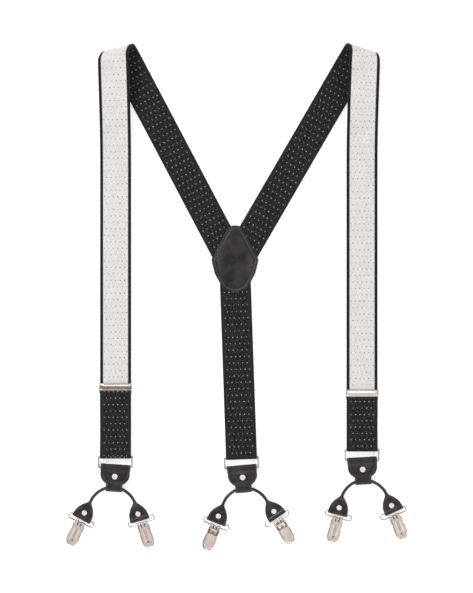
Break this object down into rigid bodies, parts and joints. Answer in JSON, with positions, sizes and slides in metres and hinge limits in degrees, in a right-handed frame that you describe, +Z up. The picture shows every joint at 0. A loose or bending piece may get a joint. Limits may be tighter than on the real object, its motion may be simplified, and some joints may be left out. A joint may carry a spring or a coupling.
{
  "type": "suspenders",
  "caption": "Y-back clip suspenders laid flat: dotted webbing straps, leather back patch, rolled leather runners, sliding adjusters and hinged metal clips.",
  "frame": {"origin": "centre of the back patch's underside, on the table", "axes": "+Z up from the table, +Y from the clips to the shoulders, +X to the right seen from above"},
  "size_m": [0.3846, 0.5719, 0.0216],
  "materials": {
    "webbing": "ribbed elastic weave with small pale dots, pale grey on the inner face",
    "leather": "smooth satin",
    "thread": "twisted thread",
    "ring_wire": "bright nickel plate",
    "rivet_metal": "bright nickel plate",
    "clip_metal": "satin warm nickel plate",
    "adjuster_metal": "polished warm nickel plate",
    "grip_plastic": "moulded dark brown"
  },
  "bodies": {
    "straps": {"back_strap": "webbing", "left_strap": "webbing", "right_strap": "webbing", "patch_front": "leather", "patch_backing": "leather", "patch_stitching": "thread"},
    "left_strap_end": {"left_strap_lower": "webbing"},
    "left_adjuster": {"left_adjuster_frame": "adjuster_metal"},
    "left_adjuster_flap": {"left_adjuster_lever": "adjuster_metal"},
    "left_ring": {"left_strap_ring": "ring_wire"},
    "left_tab": {"left_runner_tab": "leather", "left_runner_rivet": "rivet_metal"},
    "left_rolled_runner": {"left_runner": "leather", "left_end_rivets": "rivet_metal"},
    "left_left_wire": {"left_left_wire_ring": "ring_wire"},
    "left_left_clip": {"left_left_clip_back_plate": "clip_metal", "left_left_clip_pad": "grip_plastic"},
    "left_left_lever": {"left_left_clip_lever": "clip_metal"},
    "left_left_tongue": {"left_left_clip_tongue": "clip_metal"},
    "left_right_wire": {"left_right_wire_ring": "ring_wire"},
    "left_right_clip": {"left_right_clip_back_plate": "clip_metal", "left_right_clip_pad": "grip_plastic"},
    "left_right_lever": {"left_right_clip_lever": "clip_metal"},
    "left_right_tongue": {"left_right_clip_tongue": "clip_metal"},
    "right_strap_end": {"right_strap_lower": "webbing"},
    "right_adjuster": {"right_adjuster_frame": "adjuster_metal"},
    "right_adjuster_flap": {"right_adjuster_lever": "adjuster_metal"},
    "right_ring": {"right_strap_ring": "ring_wire"},
    "right_tab": {"right_runner_tab": "leather", "right_runner_rivet": "rivet_metal"},
    "right_rolled_runner": {"right_runner": "leather", "right_end_rivets": "rivet_metal"},
    "right_left_wire": {"right_left_wire_ring": "ring_wire"},
    "right_left_clip": {"right_left_clip_back_plate": "clip_metal", "right_left_clip_pad": "grip_plastic"},
    "right_left_lever": {"right_left_clip_lever": "clip_metal"},
    "right_left_tongue": {"right_left_clip_tongue": "clip_metal"},
    "right_right_wire": {"right_right_wire_ring": "ring_wire"},
    "right_right_clip": {"right_right_clip_back_plate": "clip_metal", "right_right_clip_pad": "grip_plastic"},
    "right_right_lever": {"right_right_clip_lever": "clip_metal"},
    "right_right_tongue": {"right_right_clip_tongue": "clip_metal"},
    "back_ring": {"back_strap_ring": "ring_wire"},
    "back_tab": {"back_runner_tab": "leather", "back_runner_rivet": "rivet_metal"},
    "back_rolled_runner": {"back_runner": "leather", "back_end_rivets": "rivet_metal"},
    "back_left_wire": {"back_left_wire_ring": "ring_wire"},
    "back_left_clip": {"back_left_clip_back_plate": "clip_metal", "back_left_clip_pad": "grip_plastic"},
    "back_left_lever": {"back_left_clip_lever": "clip_metal"},
    "back_left_tongue": {"back_left_clip_tongue": "clip_metal"},
    "back_right_wire": {"back_right_wire_ring": "ring_wire"},
    "back_right_clip": {"back_right_clip_back_plate": "clip_metal", "back_right_clip_pad": "grip_plastic"},
    "back_right_lever": {"back_right_clip_lever": "clip_metal"},
    "back_right_tongue": {"back_right_clip_tongue": "clip_metal"}
  },
  "joints": [
    {"name": "left_length", "type": "slide", "parent": "straps", "child": "left_strap_end", "axis": [0, -1, 0], "range_m": [-0.025, 0.05], "deforming": ["left_strap_lower"]},
    {"name": "left_adjuster_slide", "type": "slide", "parent": "left_strap_end", "child": "left_adjuster", "axis": [0, -1, 0], "range_m": [-0.025, 0.05]},
    {"name": "left_adjuster_flap_hinge", "type": "hinge", "parent": "left_adjuster", "child": "left_adjuster_flap", "pos_m": [-0.1347, -0.1406, 0.0043], "axis": [-1, 0, 0], "range_deg": [0, 100]},
    {"name": "left_ring_swing", "type": "hinge", "parent": "left_strap_end", "child": "left_ring", "pos_m": [-0.1347, -0.2213, 0.005], "axis": [1, 0, 0], "range_deg": [-45, 45]},
    {"name": "left_tab_swing", "type": "hinge", "parent": "left_ring", "child": "left_tab", "pos_m": [-0.1347, -0.2339, 0.005], "axis": [1, 0, 0], "range_deg": [-45, 45]},
    {"name": "left_runner_shift", "type": "hinge", "parent": "left_tab", "child": "left_rolled_runner", "pos_m": [-0.13815, -0.28328, 0.005], "axis": [0, 0, 1], "range_deg": [-12, 12]},
    {"name": "left_left_wire_swing", "type": "hinge", "parent": "left_rolled_runner", "child": "left_left_wire", "pos_m": [-0.17193, -0.29042, 0.005], "axis": [0.9063, -0.4226, 0], "range_deg": [-40, 40]},
    {"name": "left_left_clip_swing", "type": "hinge", "parent": "left_left_wire", "child": "left_left_clip", "pos_m": [-0.17446, -0.29585, 0.005], "axis": [0.9063, -0.4226, 0], "range_deg": [-40, 40]},
    {"name": "left_left_lever_hinge", "type": "hinge", "parent": "left_left_clip", "child": "left_left_lever", "pos_m": [-0.17721, -0.30174, 0.0018], "axis": [0.9063, -0.4226, 0], "range_deg": [0, 100]},
    {"name": "left_left_tongue_hinge", "type": "hinge", "parent": "left_left_clip", "child": "left_left_tongue", "pos_m": [-0.17641, -0.30002, 0.0044], "axis": [0.9063, -0.4226, 0], "range_deg": [0, 8]},
    {"name": "left_right_wire_swing", "type": "hinge", "parent": "left_rolled_runner", "child": "left_right_wire", "pos_m": [-0.10643, -0.29135, 0.005], "axis": [0.9483, 0.3173, 0], "range_deg": [-40, 40]},
    {"name": "left_right_clip_swing", "type": "hinge", "parent": "left_right_wire", "child": "left_right_clip", "pos_m": [-0.10453, -0.29703, 0.005], "axis": [0.9483, 0.3173, 0], "range_deg": [-40, 40]},
    {"name": "left_right_lever_hinge", "type": "hinge", "parent": "left_right_clip", "child": "left_right_lever", "pos_m": [-0.10246, -0.3032, 0.0018], "axis": [0.9483, 0.3173, 0], "range_deg": [0, 100]},
    {"name": "left_right_tongue_hinge", "type": "hinge", "parent": "left_right_clip", "child": "left_right_tongue", "pos_m": [-0.10307, -0.3014, 0.0044], "axis": [0.9483, 0.3173, 0], "range_deg": [0, 8]},
    {"name": "right_length", "type": "slide", "parent": "straps", "child": "right_strap_end", "axis": [0, -1, 0], "range_m": [-0.025, 0.04], "deforming": ["right_strap_lower"]},
    {"name": "right_adjuster_slide", "type": "slide", "parent": "right_strap_end", "child": "right_adjuster", "axis": [0, -1, 0], "range_m": [-0.025, 0.04]},
    {"name": "right_adjuster_flap_hinge", "type": "hinge", "parent": "right_adjuster", "child": "right_adjuster_flap", "pos_m": [0.1433, -0.1476, 0.0043], "axis": [-1, 0, 0], "range_deg": [0, 100]},
    {"name": "right_ring_swing", "type": "hinge", "parent": "right_strap_end", "child": "right_ring", "pos_m": [0.1433, -0.2133, 0.005], "axis": [1, 0, 0], "range_deg": [-45, 45]},
    {"name": "right_tab_swing", "type": "hinge", "parent": "right_ring", "child": "right_tab", "pos_m": [0.1433, -0.2259, 0.005], "axis": [1, 0, 0], "range_deg": [-45, 45]},
    {"name": "right_runner_shift", "type": "hinge", "parent": "right_tab", "child": "right_rolled_runner", "pos_m": [0.14606, -0.27532, 0.005], "axis": [0, 0, 1], "range_deg": [-12, 12]},
    {"name": "right_left_wire_swing", "type": "hinge", "parent": "right_rolled_runner", "child": "right_left_wire", "pos_m": [0.11745, -0.28522, 0.005], "axis": [0.9659, -0.2588, 0], "range_deg": [-40, 40]},
    {"name": "right_left_clip_swing", "type": "hinge", "parent": "right_left_wire", "child": "right_left_clip", "pos_m": [0.11589, -0.29101, 0.005], "axis": [0.9659, -0.2588, 0], "range_deg": [-40, 40]},
    {"name": "right_left_lever_hinge", "type": "hinge", "parent": "right_left_clip", "child": "right_left_lever", "pos_m": [0.11421, -0.29729, 0.0018], "axis": [0.9659, -0.2588, 0], "range_deg": [0, 100]},
    {"name": "right_left_tongue_hinge", "type": "hinge", "parent": "right_left_clip", "child": "right_left_tongue", "pos_m": [0.11471, -0.29546, 0.0044], "axis": [0.9659, -0.2588, 0], "range_deg": [0, 8]},
    {"name": "right_right_wire_swing", "type": "hinge", "parent": "right_rolled_runner", "child": "right_right_wire", "pos_m": [0.17738, -0.28255, 0.005], "axis": [0.9272, 0.3746, 0], "range_deg": [-40, 40]},
    {"name": "right_right_clip_swing", "type": "hinge", "parent": "right_right_wire", "child": "right_right_clip", "pos_m": [0.17963, -0.28812, 0.005], "axis": [0.9272, 0.3746, 0], "range_deg": [-40, 40]},
    {"name": "right_right_lever_hinge", "type": "hinge", "parent": "right_right_clip", "child": "right_right_lever", "pos_m": [0.18206, -0.29414, 0.0018], "axis": [0.9272, 0.3746, 0], "range_deg": [0, 100]},
    {"name": "right_right_tongue_hinge", "type": "hinge", "parent": "right_right_clip", "child": "right_right_tongue", "pos_m": [0.18135, -0.29238, 0.0044], "axis": [0.9272, 0.3746, 0], "range_deg": [0, 8]},
    {"name": "back_ring_swing", "type": "hinge", "parent": "straps", "child": "back_ring", "pos_m": [0.00726, -0.22236, 0.0035], "axis": [0.9994, 0.0349, 0], "range_deg": [-45, 45]},
    {"name": "back_tab_swing", "type": "hinge", "parent": "back_ring", "child": "back_tab", "pos_m": [0.0077, -0.23495, 0.0035], "axis": [0.9994, 0.0349, 0], "range_deg": [-45, 45]},
    {"name": "back_runner_shift", "type": "hinge", "parent": "back_tab", "child": "back_rolled_runner", "pos_m": [0.01201, -0.28426, 0.0035], "axis": [0, 0, 1], "range_deg": [-12, 12]},
    {"name": "back_left_wire_swing", "type": "hinge", "parent": "back_rolled_runner", "child": "back_left_wire", "pos_m": [-0.01964, -0.29459, 0.0035], "axis": [0.9239, -0.3827, 0], "range_deg": [-40, 40]},
    {"name": "back_left_clip_swing", "type": "hinge", "parent": "back_left_wire", "child": "back_left_clip", "pos_m": [-0.02193, -0.30014, 0.0035], "axis": [0.9239, -0.3827, 0], "range_deg": [-40, 40]},
    {"name": "back_left_lever_hinge", "type": "hinge", "parent": "back_left_clip", "child": "back_left_lever", "pos_m": [-0.02449, -0.3063, 0.00633], "axis": [-0.9239, 0.3827, 0], "range_deg": [0, 100]},
    {"name": "back_left_tongue_hinge", "type": "hinge", "parent": "back_left_clip", "child": "back_left_tongue", "pos_m": [-0.0237, -0.30441, 0.00384], "axis": [-0.9239, 0.3827, 0], "range_deg": [0, 8]},
    {"name": "back_right_wire_swing", "type": "hinge", "parent": "back_rolled_runner", "child": "back_right_wire", "pos_m": [0.04596, -0.28894, 0.0035], "axis": [0.8572, 0.515, 0], "range_deg": [-40, 40]},
    {"name": "back_right_clip_swing", "type": "hinge", "parent": "back_right_wire", "child": "back_right_clip", "pos_m": [0.04905, -0.29408, 0.0035], "axis": [0.8572, 0.515, 0], "range_deg": [-40, 40]},
    {"name": "back_right_lever_hinge", "type": "hinge", "parent": "back_right_clip", "child": "back_right_lever", "pos_m": [0.05248, -0.2998, 0.00633], "axis": [-0.8572, -0.515, 0], "range_deg": [0, 100]},
    {"name": "back_right_tongue_hinge", "type": "hinge", "parent": "back_right_clip", "child": "back_right_tongue", "pos_m": [0.05143, -0.29805, 0.00384], "axis": [-0.8572, -0.515, 0], "range_deg": [0, 8]}
  ],
  "couplings": [
    {"joint": "left_adjuster_slide", "follows": "left_length", "ratio": 1},
    {"joint": "left_left_tongue_hinge", "follows": "left_left_lever_hinge", "ratio": 0.08},
    {"joint": "left_right_tongue_hinge", "follows": "left_right_lever_hinge", "ratio": 0.08},
    {"joint": "right_adjuster_slide", "follows": "right_length", "ratio": 1},
    {"joint": "right_left_tongue_hinge", "follows": "right_left_lever_hinge", "ratio": 0.08},
    {"joint": "right_right_tongue_hinge", "follows": "right_right_lever_hinge", "ratio": 0.08},
    {"joint": "back_left_tongue_hinge", "follows": "back_left_lever_hinge", "ratio": 0.08},
    {"joint": "back_right_tongue_hinge", "follows": "back_right_lever_hinge", "ratio": 0.08}
  ]
}
